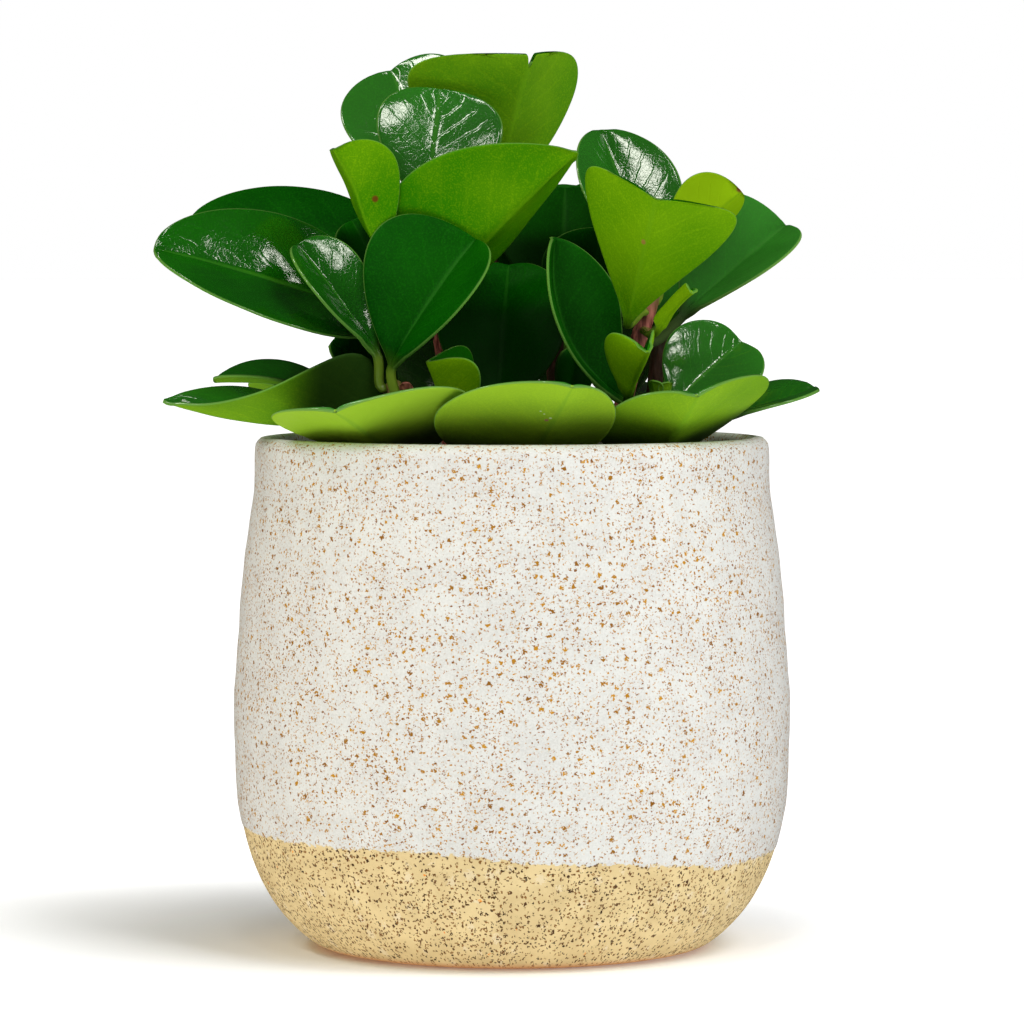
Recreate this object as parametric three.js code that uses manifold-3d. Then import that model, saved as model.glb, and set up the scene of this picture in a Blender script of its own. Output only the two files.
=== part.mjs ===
// A baby rubber plant (Peperomia obtusifolia) in a speckled stoneware pot.
// Millimetres, +Z up. The origin is the centre of the pot's flat foot, on the surface it stands on.
// The front of the plant looks along -Y, and +X is to its right.
import * as THREE from 'three';
import Module from 'manifold-3d';
import { mergeVertices } from 'three/addons/utils/BufferGeometryUtils.js';

const wasm = await Module();
wasm.setup();

// Driving dimensions of the pot
const potWidth = 175;
const potHeight = 160.5;
const rimWidth = 161;
const footWidth = 112;
const wall = 6;
const floorHeight = 8;
const floorRound = 6;
const potSides = 40;

// The potting soil
const soilTop = 139;
const soilLump = 1.6;
const soilSides = 32;
const clearance = 0.3;
const soilInset = clearance + 0.4;

// Stems and leaves
const stemSides = 8;
const stemRows = 5;
const stemDepth = 34;
const stemTaper = 0.7;
const stemLean = 0.25;
const stalkRadius = 1.5;
const stalkArch = 0.35;
const stalkGap = 0.4;
const stalkThickness = 2.6;
const bladeThickness = 1.15;
const marginThickness = 0.75;
const bladeColumns = 4;
const rolledColumns = 6;
const bladeRows = 8;
const stalkRows = 2;
const degrees = Math.PI / 180;

const glaze = new THREE.MeshStandardMaterial({ color: '#e6e2da', roughness: 0.75 });
const earth = new THREE.MeshStandardMaterial({ color: '#35261b', roughness: 1 });
const bark = new THREE.MeshStandardMaterial({ color: '#7d5140', roughness: 0.6 });
const matureLeaf = new THREE.MeshStandardMaterial({ color: '#1d6a1b', roughness: 0.3 });
const youngLeaf = new THREE.MeshStandardMaterial({ color: '#74a81c', roughness: 0.35 });

const group = new THREE.Group();

function add(name, geometry, material) {
  const mesh = new THREE.Mesh(geometry, material);
  mesh.name = name;
  group.add(mesh);
  return mesh;
}

// Welds a geometry's corners, leaving only their positions.
function welded(geometry) {
  const bare = geometry.clone();
  bare.deleteAttribute('normal');
  bare.deleteAttribute('uv');
  return mergeVertices(bare, 1e-3);
}

function solid(geometry) {
  const merged = welded(geometry);
  return new wasm.Manifold(new wasm.Mesh({
    numProp: 3,
    vertProperties: merged.attributes.position.array,
    triVerts: new Uint32Array(merged.index.array),
  }));
}

function geometryOf(made) {
  const mesh = made.getMesh();
  const geometry = new THREE.BufferGeometry();
  geometry.setAttribute('position', new THREE.BufferAttribute(mesh.vertProperties, 3));
  geometry.setIndex(new THREE.BufferAttribute(mesh.triVerts, 1));
  return geometry;
}

// The pot: one thrown shell, widest below the middle, drawn in to a plain rounded rim.
const potRadius = potWidth / 2;
const rimRadius = rimWidth / 2;
const footRadius = footWidth / 2;

// The outside, from the edge of the foot up to the rim: radius and height of each ring.
const outside = [
  [footRadius, 0],
  [footRadius + 6, 1.5],
  [potRadius * 0.79, 7],
  [potRadius * 0.87, 15.5],
  [potRadius * 0.935, 27],
  [potRadius * 0.975, 40],
  [potRadius * 0.995, 55],
  [potRadius, 70],
  [potRadius * 0.992, 88],
  [potRadius * 0.978, 108],
  [potRadius * 0.948, 130],
  [rimRadius + 0.5, 148],
  [rimRadius, potHeight - 2.2],
  [rimRadius - 1.6, potHeight - 0.3],
];

function insideRadius(height) {
  const above = outside.findIndex(([, z]) => z >= height);
  const [r1, z1] = outside[above];
  const [r0, z0] = outside[above - 1];
  return r0 + (r1 - r0) * (height - z0) / (z1 - z0) - wall;
}

const lowest = 12;
const floorRadius = insideRadius(lowest) - floorRound;
const innerHeights = [lowest, 22, 40, 70, 108, 148];
const inside = innerHeights.map((z) => [insideRadius(z), z]);

function turned(profile, sides) {
  const points = profile.map(([r, z]) => new THREE.Vector2(r, z));
  return new THREE.LatheGeometry(points, sides).rotateX(Math.PI / 2);
}

add('pot', welded(turned([
  [0, 0],
  ...outside,
  [rimRadius - 4.2, potHeight],
  [rimRadius - wall + 0.2, potHeight - 1.8],
  ...inside.toReversed(),
  [floorRadius, floorHeight],
  [0, floorHeight],
], potSides)), glaze);

// Stems: each rises out of the soil and leans to its tip.
const stems = {
  front_left: { base: [-28, -18], tip: [-37, -23, 179], radius: 3.4 },
  crown_front: { base: [-16, 16], tip: [-26, -1, 230], radius: 3.6 },
  crown_back: { base: [-3, 26], tip: [-10, 28, 252], radius: 3.6 },
  right: { base: [24, -8], tip: [46, -2, 212], radius: 3.4 },
  front_right: { base: [44, -20], tip: [46, -18, 172], radius: 2.8 },
  front_middle: { base: [0, -20], tip: [-7, -22, 168], radius: 3 },
  left_back: { base: [-36, 20], tip: [-42, 20, 206], radius: 3.2 },
  back_middle: { base: [14, 36], tip: [14, 40, 206], radius: 3.4 },
  back_right: { base: [40, 22], tip: [48, 26, 196], radius: 3.2 },
};

function stemCurve({ base: [x, y], tip }) {
  const foot = new THREE.Vector3(x, y, soilTop - stemDepth);
  const head = new THREE.Vector3(...tip);
  const bend = foot.clone().lerp(head, 0.5);
  bend.x = x + (head.x - x) * stemLean;
  bend.y = y + (head.y - y) * stemLean;
  return new THREE.QuadraticBezierCurve3(foot, bend, head);
}

// Bends an upright cylinder one unit tall along a curve and keeps its radius.
function alongCurve(cylinder, curve) {
  const position = cylinder.attributes.position;
  for (let i = 0; i < position.count; i += 1) {
    const t = Math.min(1, Math.max(0, position.getY(i) + 0.5));
    const middle = curve.getPoint(t);
    const tangent = curve.getTangent(t);
    const across = new THREE.Vector3(0, 1, 0).cross(tangent).normalize();
    const over = tangent.clone().cross(across);
    middle.addScaledVector(across, position.getX(i)).addScaledVector(over, -position.getZ(i));
    position.setXYZ(i, middle.x, middle.y, middle.z);
  }
  return cylinder;
}

function stemGeometry(stem, extra = 0) {
  const cylinder = new THREE.CylinderGeometry(
    stem.radius * stemTaper + extra, stem.radius + extra, 1, stemSides, stemRows,
  );
  return welded(alongCurve(cylinder, stemCurve(stem)));
}

// The soil fills the pot, with a lumpy top and a plain hole for each stem.
const soilRadius = insideRadius(soilTop) - soilInset;
const soilBody = turned([
  [0, floorHeight + clearance],
  [floorRadius - soilInset, floorHeight + clearance],
  ...[14, 22, 40, 70, 108].map((z) => [insideRadius(z) - soilInset, z]),
  [soilRadius, soilTop - 2],
  ...[0.9, 0.78, 0.62, 0.45, 0.25].map((share) => [soilRadius * share, soilTop]),
  [0, soilTop],
], soilSides);

function lumpAt(x, y) {
  return Math.sin(x * 0.37 + 1.3) * Math.cos(y * 0.41 - 0.6) + 0.5 * Math.sin(x * 0.83 + y * 0.71);
}

const soilPoints = soilBody.attributes.position;
for (let i = 0; i < soilPoints.count; i += 1) {
  const height = soilPoints.getZ(i);
  if (height === soilTop) {
    soilPoints.setZ(i, height + soilLump * lumpAt(soilPoints.getX(i), soilPoints.getY(i)));
  }
}

let soil = solid(soilBody);
for (const stem of Object.values(stems)) {
  soil = soil.subtract(solid(stemGeometry(stem, clearance)));
}
add('potting_soil', geometryOf(soil), earth);

// Leaves. Each grows from its stem at a share of the stem's length, stands on a short stalk up to its
// neck, and ends at its tip. face is the way its upper side looks. fold is how steeply the two halves
// rise from the midrib in degrees, and cup what they gain by the margin. bow is how far the midrib
// stands out to the upper side between neck and tip, sway how far it stands out sideways, and twist how
// many degrees the blade turns about it. skew widens one half at the other's cost, foot and point shape
// the outline, and notch is how far the two halves reach past the tip. lag is how far one half falls back
// towards the neck for each millimetre out.
const leaves = [
  {
    name: 'crown_back_left', stem: 'crown_back', at: 0.86,
    neck: [-21, 34, 236], tip: [-39.2, 58, 277], face: [-0.2, -0.8, 0.45],
    width: 44, fold: 8, cup: 14, bow: 3, notch: 1,
  },
  {
    name: 'crown_back_right', stem: 'crown_back', at: 0.92,
    neck: [-6, 22, 233], tip: [6.5, 14, 281], face: [-0.36, 0.9, 0.1],
    width: 64, skew: 0.12, lag: 0.33, foot: 1, point: 0.22, fold: 22, cup: 8, twist: 20, bow: 2,
  },
  {
    name: 'crown_middle', stem: 'crown_front', at: 0.95,
    neck: [-27, 4, 232], tip: [-22.8, 12, 269.5], face: [0.1, -0.95, 0.3],
    width: 41, skew: 0.05, fold: 5, cup: 15, bow: 2,
  },
  {
    name: 'crown_front_left', stem: 'crown_front', at: 0.88,
    neck: [-39, -19, 219], tip: [-55, -25, 250], face: [0.5, 0.8, 0.3],
    width: 31, fold: 35, cup: 20, bow: 1, young: true,
  },
  {
    name: 'crown_front_right', stem: 'crown_front', at: 0.8,
    neck: [-27, -12, 203], tip: [20, -30, 249], face: [-0.42, 0.8, 0.42],
    width: 53, skew: 0.2, foot: 0.4, point: 0.85, fold: 37, cup: 0, bow: 1,
  },
  {
    name: 'left_upright', stem: 'front_left', at: 0.9,
    neck: [-37, -26, 183], tip: [-11, -21, 222], face: [-0.55, -0.8, 0.2],
    width: 51, skew: -0.05, fold: 28, cup: 6, bow: 2,
  },
  {
    name: 'left_small', stem: 'front_left', at: 0.97,
    neck: [-42, -25, 187], tip: [-67, -17, 220.5], face: [0.45, -0.8, 0.35],
    width: 26, fold: 30, cup: 10, bow: 1,
  },
  {
    name: 'left_long', stem: 'crown_front', at: 0.7,
    neck: [-42, 3, 197.5], tip: [-110.5, -26, 219], face: [0.1, -0.75, 0.65],
    width: 47, foot: 0.5, point: 0.6, fold: 13, cup: 8, bow: 2, notch: 1,
  },
  {
    name: 'left_far', stem: 'left_back', at: 0.9,
    neck: [-36, 24, 215], tip: [-104, 44, 228.5], face: [0, -0.5, 0.85],
    width: 42, foot: 0.5, point: 0.55, fold: 16, cup: 6, bow: 2,
  },
  {
    name: 'left_shaded', stem: 'crown_front', at: 0.76,
    neck: [-37, -3, 202], tip: [-50.5, 0, 228], face: [0.4, -0.9, 0.2],
    width: 26, fold: 12, cup: 20, bow: 1,
  },
  {
    name: 'left_under', stem: 'left_back', at: 0.62,
    neck: [-36, 5, 174], tip: [-57, 5, 190], face: [0, -0.6, 0.7],
    width: 25, fold: 20, cup: 20,
  },
  {
    name: 'left_low_far', stem: 'left_back', at: 0.6,
    neck: [-53, 24, 172], tip: [-95, 34, 177], face: [0, -0.15, 0.97],
    width: 32, fold: 12, cup: 8, bow: 2,
  },
  {
    name: 'left_low', stem: 'front_left', at: 0.72,
    neck: [-38, -18, 168], tip: [-107.5, -30, 172.5], face: [0.1, 0.15, 0.98],
    width: 46, foot: 0.25, point: 0.8, fold: 33, cup: 5, twist: -80, bow: -5,
  },
  {
    name: 'rim_left', stem: 'front_left', at: 0.55,
    neck: [-32, -28, 152], tip: [-53, -74, 170.5], face: [0, 0.35, 0.9],
    width: 64, skew: -0.1, fold: 8, cup: 6, bow: 1, notch: 1,
  },
  {
    name: 'rim_middle', stem: 'front_middle', at: 0.6,
    neck: [2, -30, 150], tip: [18, -80, 178], face: [-0.06, 0.48, 0.85],
    width: 55, skew: 0.27, foot: 0.6, fold: 2, cup: 6, bow: -1, notch: 1,
  },
  {
    name: 'rim_right', stem: 'front_right', at: 0.55,
    neck: [42.5, -24, 152], tip: [55.6, -68, 175], face: [-0.24, 0.4, 0.85],
    width: 58, skew: -0.18, foot: 0.6, fold: 14, cup: 6, bow: -1, notch: 2,
  },
  {
    name: 'right_low', stem: 'front_right', at: 0.75,
    neck: [66, -4, 166], tip: [96, 10, 175], face: [0, -0.25, 0.97],
    width: 21, fold: 17, cup: 0,
  },
  {
    name: 'middle_rolled', stem: 'front_middle', at: 0.9,
    neck: [-18, -25, 163], tip: [-26, -33, 184.7], face: [1, 0, 0.5],
    width: 32, foot: 0.8, point: 0.25, fold: 50, cup: 20, young: true,
  },
  {
    name: 'middle_upright', stem: 'front_middle', at: 0.95,
    neck: [-4, -10, 172], tip: [-1, 8, 215], face: [-0.1, -0.95, 0.3],
    width: 43, foot: 0.6, fold: 6, cup: 22, bow: 2, notch: 1,
  },
  {
    name: 'right_leaning', stem: 'right', at: 0.6,
    neck: [37, -14, 170], tip: [13, -15, 223], face: [0.75, -0.65, 0.1],
    width: 40, foot: 0.8, fold: 35, cup: 8, bow: -7, sway: -6,
  },
  {
    name: 'right_front', stem: 'right', at: 0.88,
    neck: [36, -20, 197], tip: [44, -42, 234.5], face: [0.2, 0.86, 0.45],
    width: 56, skew: -0.02, lag: -0.15, foot: 1, point: 0.12, fold: 25, cup: 8, bow: -1, notch: 1,
    young: true,
  },
  {
    name: 'right_top', stem: 'right', at: 0.97,
    neck: [41, 8, 219], tip: [28, 26, 257], face: [0.38, -0.9, 0.17],
    width: 42, skew: -0.12, foot: 0.5, point: 0.68, fold: 30, cup: 4, bow: 1,
  },
  {
    name: 'right_young', stem: 'right', at: 0.92,
    neck: [49.5, 2.5, 216.5], tip: [72, 3, 237.5], face: [-0.4, 0.85, 0.3],
    width: 28, fold: 30, cup: 15, bow: 1, young: true,
  },
  {
    name: 'right_far', stem: 'right', at: 0.8,
    neck: [54, 12, 198], tip: [87.5, 26, 226.5], face: [-0.2, -0.7, 0.6],
    width: 46, fold: 30, cup: 10, bow: 1,
  },
  {
    name: 'right_rolled', stem: 'front_right', at: 0.88,
    neck: [36, -26, 174], tip: [41.5, -41, 187.7], face: [-0.3, 0.6, 0.7],
    width: 30, foot: 0.7, point: 0.4, fold: 40, cup: 40, young: true,
  },
  {
    name: 'right_curl', stem: 'right', at: 0.83,
    neck: [45.5, -22, 195], tip: [55.3, -31, 206], face: [-0.2, 0.9, 0.4],
    width: 9, foot: 0.3, point: 0.15, fold: 15, cup: 120, bow: 1, young: true,
  },
  {
    name: 'right_round', stem: 'front_right', at: 0.95,
    neck: [51, -15, 171], tip: [72, -6, 190], face: [-0.3, -0.85, 0.4],
    width: 35, foot: 0.7, fold: 8, cup: 10, bow: 1, notch: 2,
  },
  {
    name: 'back_upright', stem: 'back_middle', at: 0.9,
    neck: [16, 32, 200], tip: [17, 36, 239], face: [0, -0.95, 0.2],
    width: 48, fold: 12, cup: 20, bow: 1, notch: 1,
  },
  {
    name: 'back_tall', stem: 'back_middle', at: 0.95,
    neck: [26, 52, 210], tip: [21, 62, 240], face: [0, -0.95, 0.2],
    width: 40, fold: 12, cup: 20, bow: 1, notch: 1,
  },
  {
    name: 'back_left_upright', stem: 'back_middle', at: 0.8,
    neck: [-2, 50, 194], tip: [-5, 60, 227], face: [0, -0.95, 0.2],
    width: 32, fold: 12, cup: 20, bow: 1, notch: 1,
  },
  {
    name: 'middle_shaded', stem: 'front_middle', at: 0.8,
    neck: [17, 6, 168], tip: [20, 8, 188], face: [0.3, -0.9, 0.3],
    width: 14, fold: 12, cup: 20, bow: 1,
  },
  {
    name: 'right_shaded', stem: 'back_middle', at: 0.75,
    neck: [24, 24, 190], tip: [28, 18, 226], face: [0, -0.95, 0.2],
    width: 36, fold: 12, cup: 10, bow: 1,
  },
  {
    name: 'back_right_low', stem: 'back_right', at: 0.7,
    neck: [52, 34, 175], tip: [57, 76, 181], face: [-0.2, -0.2, 0.95],
    width: 40, fold: 14, cup: 14, bow: 3, notch: 1,
  },
  {
    name: 'back_right_high', stem: 'back_right', at: 0.9,
    neck: [49.5, 37, 194], tip: [67, 72, 216], face: [-0.2, -0.3, 0.9],
    width: 48, fold: 15, cup: 15, bow: 3, notch: 1,
  },
  {
    name: 'back_right_inner', stem: 'back_right', at: 0.62,
    neck: [38, 37, 171], tip: [32, 44, 199], face: [0.2, -0.95, 0.3],
    width: 27, fold: 15, cup: 15, bow: 2,
  },
  {
    name: 'back_low', stem: 'back_middle', at: 0.65,
    neck: [12, 52, 164], tip: [4, 78, 194], face: [0, -0.8, 0.6],
    width: 46, fold: 12, cup: 15, bow: 3, notch: 1,
  },
  {
    name: 'back_low_left', stem: 'back_middle', at: 0.55,
    neck: [-16, 46, 161], tip: [-28, 56, 196], face: [0.1, -0.9, 0.4],
    width: 40, fold: 12, cup: 15, bow: 2, notch: 1,
  },
  {
    name: 'back_low_right', stem: 'back_right', at: 0.55,
    neck: [46, 38, 163], tip: [52, 78, 173], face: [-0.1, -0.1, 1],
    width: 50, fold: 12, cup: 15, bow: 2, notch: 1,
  },
  {
    name: 'left_back_low', stem: 'left_back', at: 0.5,
    neck: [-45, 33, 164], tip: [-74, 68, 168], face: [0.1, -0.2, 1],
    width: 50, fold: 15, cup: 15, bow: 2, notch: 1,
  },
  {
    name: 'left_back_high', stem: 'left_back', at: 0.8,
    neck: [-42, 34, 190], tip: [-52, 76, 204], face: [0, -0.3, 0.9],
    width: 46, fold: 15, cup: 15, bow: 3,
  },
  {
    name: 'crown_back_low', stem: 'crown_back', at: 0.9,
    neck: [-14, 40, 236], tip: [-22, 76, 254], face: [0, -0.4, 0.9],
    width: 44, fold: 15, cup: 15, bow: 3, notch: 1,
  },
  {
    name: 'crown_side_left', stem: 'crown_back', at: 0.76,
    neck: [-20, 38, 214], tip: [-50, 62, 226], face: [0.1, -0.3, 0.9],
    width: 36, fold: 10, cup: 10, bow: 2,
  },
];

// How wide the blade is at a share of its length, as a share of its widest. A small foot widens it
// quickly from the neck, and a small point ends it bluntly.
function outline(x, foot = 0.95, point = 0.5) {
  const widest = foot / (foot + point);
  return (x ** foot * (1 - x) ** point) / (widest ** foot * (1 - widest) ** point);
}

// The blade's cross-section: where a point lies at a share r of one half's width, and the slope there.
function halfSection(reach, fold, cup, r) {
  const slope = (fold + cup * r) * degrees;
  if (Math.abs(cup) < 0.01) {
    return { out: reach * r * Math.cos(slope), up: reach * r * Math.sin(slope), slope };
  }
  const turn = cup * degrees;
  return {
    out: reach * (Math.sin(slope) - Math.sin(fold * degrees)) / turn,
    up: reach * (Math.cos(fold * degrees) - Math.cos(slope)) / turn,
    slope,
  };
}

function leafFrame(leaf) {
  const neck = new THREE.Vector3(...leaf.neck);
  const tip = new THREE.Vector3(...leaf.tip);
  const face = new THREE.Vector3(...leaf.face).normalize();
  const chord = tip.clone().sub(neck).normalize();
  face.addScaledVector(chord, -face.dot(chord)).normalize();
  const side = chord.clone().cross(face);
  // The middle of a quadratic curve stands half as far out as its control point.
  const knee = neck.clone().lerp(tip, 0.5)
    .addScaledVector(face, (leaf.bow ?? 0) * 2).addScaledVector(side, (leaf.sway ?? 0) * 2);
  const blade = new THREE.QuadraticBezierCurve3(neck, knee, tip);
  const stem = stems[leaf.stem];
  const centre = stemCurve(stem).getPoint(leaf.at);
  const rise = stemCurve(stem).getTangent(leaf.at);
  const outward = neck.clone().sub(centre);
  outward.addScaledVector(rise, -outward.dot(rise)).normalize();
  const stemRadius = stem.radius * (1 - (1 - stemTaper) * leaf.at);
  const root = centre.clone().addScaledVector(outward, leaf.fused ? 0 : stemRadius + stalkGap);
  const span = root.distanceTo(neck);
  const stalk = new THREE.CubicBezierCurve3(
    root,
    root.clone().addScaledVector(outward, span * stalkArch),
    neck.clone().addScaledVector(blade.getTangent(0), -span * stalkArch),
    neck,
  );
  return { blade, stalk, face };
}

// A closed sheet on a grid: both faces are split into the same triangles, and a wall runs round them.
function closedSheet(columns, rows, pointAt) {
  const corners = [];
  const triangles = [];
  const across = columns + 1;
  const layer = across * (rows + 1);
  for (const side of [1, -1]) {
    for (let row = 0; row <= rows; row += 1) {
      for (let column = 0; column <= columns; column += 1) {
        corners.push(...pointAt(column / columns * 2 - 1, row, side).toArray());
      }
    }
  }
  for (let row = 0; row < rows; row += 1) {
    for (let column = 0; column < columns; column += 1) {
      const a = row * across + column;
      const [b, c, d] = [a + 1, a + across + 1, a + across];
      const halves = column < columns / 2 ? [[a, b, c], [a, c, d]] : [[a, b, d], [b, c, d]];
      for (const [i, j, k] of halves) {
        triangles.push(i, j, k);
        triangles.push(layer + i, layer + k, layer + j);
      }
    }
  }
  const loop = [];
  for (let column = 0; column < columns; column += 1) {
    loop.push(column);
  }
  for (let row = 0; row < rows; row += 1) {
    loop.push(row * across + columns);
  }
  for (let column = columns; column > 0; column -= 1) {
    loop.push(rows * across + column);
  }
  for (let row = rows; row > 0; row -= 1) {
    loop.push(row * across);
  }
  loop.forEach((i, n) => {
    const j = loop[(n + 1) % loop.length];
    triangles.push(j, i, layer + i);
    triangles.push(j, layer + i, layer + j);
  });
  const geometry = new THREE.BufferGeometry();
  geometry.setAttribute('position', new THREE.Float32BufferAttribute(corners, 3));
  geometry.setIndex(triangles);
  return geometry;
}

function leafGeometry(leaf) {
  const { blade, stalk, face } = leafFrame(leaf);
  const skew = leaf.skew ?? 0;
  const lag = leaf.lag ?? 0;
  const notch = leaf.notch ?? 0;
  const notchWidth = 3 + notch * 1.5;
  const columns = leaf.cup > 40 ? rolledColumns : bladeColumns;
  return closedSheet(columns, stalkRows + bladeRows, (s, row, side) => {
    const onStalk = row < stalkRows;
    const x = onStalk ? 0 : 1 - (1 - (row - stalkRows) / bladeRows) ** 2;
    const curve = onStalk ? stalk : blade;
    const t = onStalk ? row / stalkRows : x;
    const middle = curve.getPoint(t);
    const tangent = curve.getTangent(t);
    const up = face.clone().addScaledVector(tangent, -face.dot(tangent)).normalize()
      .applyAxisAngle(tangent, (leaf.twist ?? 0) * (x - 0.5) * degrees);
    const across = tangent.clone().cross(up);
    const half = leaf.width / 2 * (1 + Math.sign(s) * skew) * outline(x, leaf.foot, leaf.point);
    const reach = Math.hypot(stalkRadius * (1 - x * 0.6), half);
    const share = Math.min(1, half / stalkRadius / 3);
    const { out, up: rise, slope } = halfSection(reach, leaf.fold * share, leaf.cup * share, Math.abs(s));
    const lobe = notch * (1 - Math.exp(-((out / notchWidth) ** 2))) * Math.max(0, x - 0.6) / 0.4;
    const ridge = (stalkThickness - bladeThickness) * Math.max(0, 1 - x * 3) + bladeThickness;
    const thickness = marginThickness + (ridge - marginThickness) * Math.sqrt(1 - s * s);
    const normal = up.clone().multiplyScalar(Math.cos(slope))
      .addScaledVector(across, -Math.sign(s) * Math.sin(slope));
    return middle
      .addScaledVector(across, Math.sign(s) * out)
      .addScaledVector(up, rise)
      .addScaledVector(tangent, lobe - Math.max(0, lag * Math.sign(s)) * out * x)
      .addScaledVector(normal, side * thickness / 2);
  });
}

// The smallest shoots, fused into the stems that they grow from.
const shoots = [
  {
    stem: 'front_left', at: 0.85,
    neck: [-32, -26, 172], tip: [-33, -29, 178], face: [0, 0.5, 0.8],
    width: 4, fold: 40, cup: 30,
  },
  {
    stem: 'front_right', at: 0.95,
    neck: [45, -21, 173], tip: [43.5, -23, 178.5], face: [0.5, 0.5, 0.5],
    width: 6, fold: 20, cup: 20,
  },
  {
    stem: 'front_right', at: 0.95,
    neck: [47, -21, 173], tip: [48.5, -22.5, 178], face: [-0.5, 0.5, 0.5],
    width: 6, fold: 20, cup: 20,
  },
  {
    stem: 'crown_back', at: 0.97,
    neck: [-10, 28, 253], tip: [-10, 27, 264], face: [0, -0.9, 0.3],
    width: 8, fold: 30, cup: 40,
  },
];

for (const [name, stem] of Object.entries(stems)) {
  let grown = solid(stemGeometry(stem));
  for (const shoot of shoots.filter((one) => one.stem === name)) {
    grown = grown.add(solid(leafGeometry({ ...shoot, fused: true })));
  }
  add(`stem_${name}`, geometryOf(grown), bark);
}

for (const leaf of leaves) {
  add(`leaf_${leaf.name}`, leafGeometry(leaf), leaf.young ? youngLeaf : matureLeaf);
}

export default group;
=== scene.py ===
import math
import random
from dataclasses import dataclass

import bmesh
import bpy
from mathutils import Matrix, Vector, noise


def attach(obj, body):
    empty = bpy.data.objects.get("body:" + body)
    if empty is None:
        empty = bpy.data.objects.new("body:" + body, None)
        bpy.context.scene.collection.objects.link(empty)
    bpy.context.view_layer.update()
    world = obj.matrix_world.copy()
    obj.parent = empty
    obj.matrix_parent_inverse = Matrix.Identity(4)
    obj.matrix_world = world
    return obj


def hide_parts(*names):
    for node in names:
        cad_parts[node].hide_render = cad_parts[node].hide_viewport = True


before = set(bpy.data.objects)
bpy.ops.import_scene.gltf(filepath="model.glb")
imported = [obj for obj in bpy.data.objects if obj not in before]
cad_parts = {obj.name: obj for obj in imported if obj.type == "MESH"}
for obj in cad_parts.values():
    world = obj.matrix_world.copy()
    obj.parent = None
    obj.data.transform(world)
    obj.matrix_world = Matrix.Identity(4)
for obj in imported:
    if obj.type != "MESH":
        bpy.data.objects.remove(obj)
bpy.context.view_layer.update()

MM = 0.001

# The pot, as in the frame
pot_radius = 87.5
pot_height = 160.5
rim_radius = 80.5
foot_radius = 56
wall = 6
floor_height = 8
floor_corner = 6  # from the inner wall to the flat of the floor
# Radius and height of its outside, from the edge of the foot up, and of the rim's top and inner edge
pot_outside = [
    (foot_radius, 0), (foot_radius + 6, 1.5), (pot_radius * 0.79, 7), (pot_radius * 0.87, 15.5),
    (pot_radius * 0.935, 27), (pot_radius * 0.975, 40), (pot_radius * 0.995, 55), (pot_radius, 70),
    (pot_radius * 0.992, 88), (pot_radius * 0.978, 108), (pot_radius * 0.948, 130),
    (rim_radius + 0.5, 148), (rim_radius, pot_height - 2.2), (rim_radius - 1.6, pot_height - 0.3),
]
rim_top = (rim_radius - 4.2, pot_height)
rim_inside = (rim_radius - wall + 0.2, pot_height - 1.8)
inner_heights = (148, 108, 70, 40, 22, 12)
inner_lowest = 2
inner_highest = 158
# Its mesh: steps round it, and how far apart the corners of its outside, lip and inside are
pot_turns = 192
outer_step = 1.0
lip_step = 0.8
inner_step = 3.0

# The throwing ridges: height and depth of each, how wide they are and how far they stray up and down
ridges = [(143, -0.35), (124, 0.25), (101, -0.3), (80, 0.3), (62, -0.25), (46, 0.2)]
ridge_width = 5
ridge_sway = 2.0

# The line where the glaze ends: its mean height, its lean down to the right, and its swells and drips,
# each with its direction in degrees from +X, its height and its width
glaze_height = 35.3
glaze_lean = -3.7
glaze_swells = [
    (-108, 2.0, 17), (-38, -1.0, 13), (-41, -1.6, 2.2), (-34, -0.8, 1.8), (-70, 0.5, 6), (20, 1.2, 20),
    (65, -1.4, 15), (118, 1.6, 18), (150, -0.8, 10),
]
# How far the clay lies below the glaze, and the heights about the line between which the step rises
recess = 0.35
step_start = -0.6
step_end = 0.4
all_glazed = 50  # the height above the line that stands for the whole inside

# The soil: gaps to the wall, the heights of its side's corners and the steps of its mesh
soil_top = 139
soil_edge_gap = 0.5
soil_side_gap = 0.7
soil_floor_gap = 0.3
soil_corner = 7
soil_heights = (14, 22, 40, 70, 108)
soil_rings = 40
soil_turns = 96
lump_height = 1.2
fine_lump_size = 4
fine_lump_height = 1.0

# The crumbs on it
crumb_seed = 11
crumb_count = 420
crumb_margin = 4
crumb_radius = (0.7, 2.4)
crumb_length = (0.6, 1.5)
crumb_flatness = (0.5, 0.9)
crumb_lift = 0.25
crumb_bumps = 0.35
crumb_bump_size = 0.9

# The stems
stem_depth = 34  # below the top of the soil
stem_taper = 0.7  # the head's radius, as a share of the foot's
stem_lean = 0.25  # how far the bend has gone over towards the head
stem_round = 16
stem_rows = 60
node_swelling = 0.35
node_length = 2.2
node_drop = 1
stem_uneven = 0.05
stem_uneven_size = 6
head_length = 0.5  # in radii
head_closing = 0.9
# The stems that stand in the dark of the bush, whose colour painted shade darkens
stems_with_painted_shade = ("front_middle", "back_middle", "crown_back", "left_back", "back_right")

# The stalks of the leaves
stalk_radius = 1.5
stalk_narrowing = 0.6
stalk_arch = 0.35
stalk_gap = 0.4
stalk_thickness = 2.6

# The blades. A blade has its full fold where half of it is full_form stalk radii wide, and its midrib has
# thinned to the blade's thickness at the share 1 / midrib_run of its length
blade_thickness = 1.15
margin_thickness = 0.75
midrib_run = 3
full_form = 3
groove_width = 0.07
bulge = 0.7
edge_round = 0.13
wave_height = 0.35
wave_length = 16
wave_end = 0.8
notch_width = 3
notch_spread = 1.5
notch_start = 0.6
tear_width = 0.8
tear_lean = 12
tear_start = 0.72
# Where a nudge sets in and fades, from the stalk's root at -1 and the neck at 0 to the tip at 1
nudge_rise = (-1, -0.6)
nudge_fall = (0.25, 0.7)

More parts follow.
